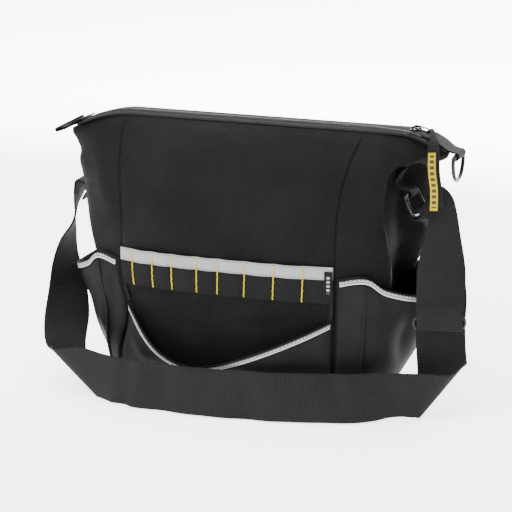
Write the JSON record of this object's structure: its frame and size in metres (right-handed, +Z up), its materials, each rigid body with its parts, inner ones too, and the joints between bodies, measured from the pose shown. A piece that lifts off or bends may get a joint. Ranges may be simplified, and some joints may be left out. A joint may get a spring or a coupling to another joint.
{
  "type": "insulated lunch bag",
  "caption": "Insulated lunch bag with a zip along the ridge, open front and side pockets, a band of tool loops and a shoulder strap lying in front.",
  "frame": {"origin": "centre of the base's underside, on the surface it rests on", "axes": "+X along the zip towards its slider, -Y towards the front pocket, +Z up"},
  "size_m": [0.46, 0.2061, 0.2919],
  "materials": {
    "ripstop": "fine black ripstop weave",
    "coated_cloth": "dark grey coated cloth, satin",
    "webbing": "ribbed charcoal webbing",
    "binding": "black woven binding",
    "reflective": "silver reflective tape",
    "black_metal": "black plated metal",
    "yellow_label": "yellow rubbery label with a black edge"
  },
  "bodies": {
    "bag": {"front_panel": "ripstop", "back_panel": "ripstop", "left_gusset": "ripstop", "right_gusset": "ripstop", "zip_tape_front": "ripstop", "zip_tape_back": "ripstop", "left_end_tab": "ripstop", "right_end_tab": "ripstop", "base_panel": "coated_cloth", "front_pocket": "coated_cloth", "left_pocket": "coated_cloth", "right_pocket": "coated_cloth", "pull_ribbon": "webbing", "left_ring_tab": "webbing", "right_ring_tab": "webbing", "tool_loop_webbing": "webbing", "strap_main": "webbing", "zip_coil": "binding", "front_pocket_binding": "binding", "left_pocket_binding": "binding", "right_pocket_binding": "binding", "woven_label": "binding", "front_pocket_stripe": "reflective", "left_pocket_stripe": "reflective", "right_pocket_stripe": "reflective", "reflective_tape": "reflective", "zip_slider": "black_metal", "zip_puller": "black_metal", "left_ring": "black_metal", "right_ring": "black_metal", "strap_slider": "black_metal", "pull_label": "yellow_label"},
    "ring": {"end_ring": "black_metal"}
  },
  "joints": [
    {"name": "end_ring_swing", "type": "hinge", "parent": "bag", "child": "ring", "pos_m": [0.214, 0, 0.26163], "axis": [0, 1, 0], "range_deg": [-110, 35]}
  ]
}
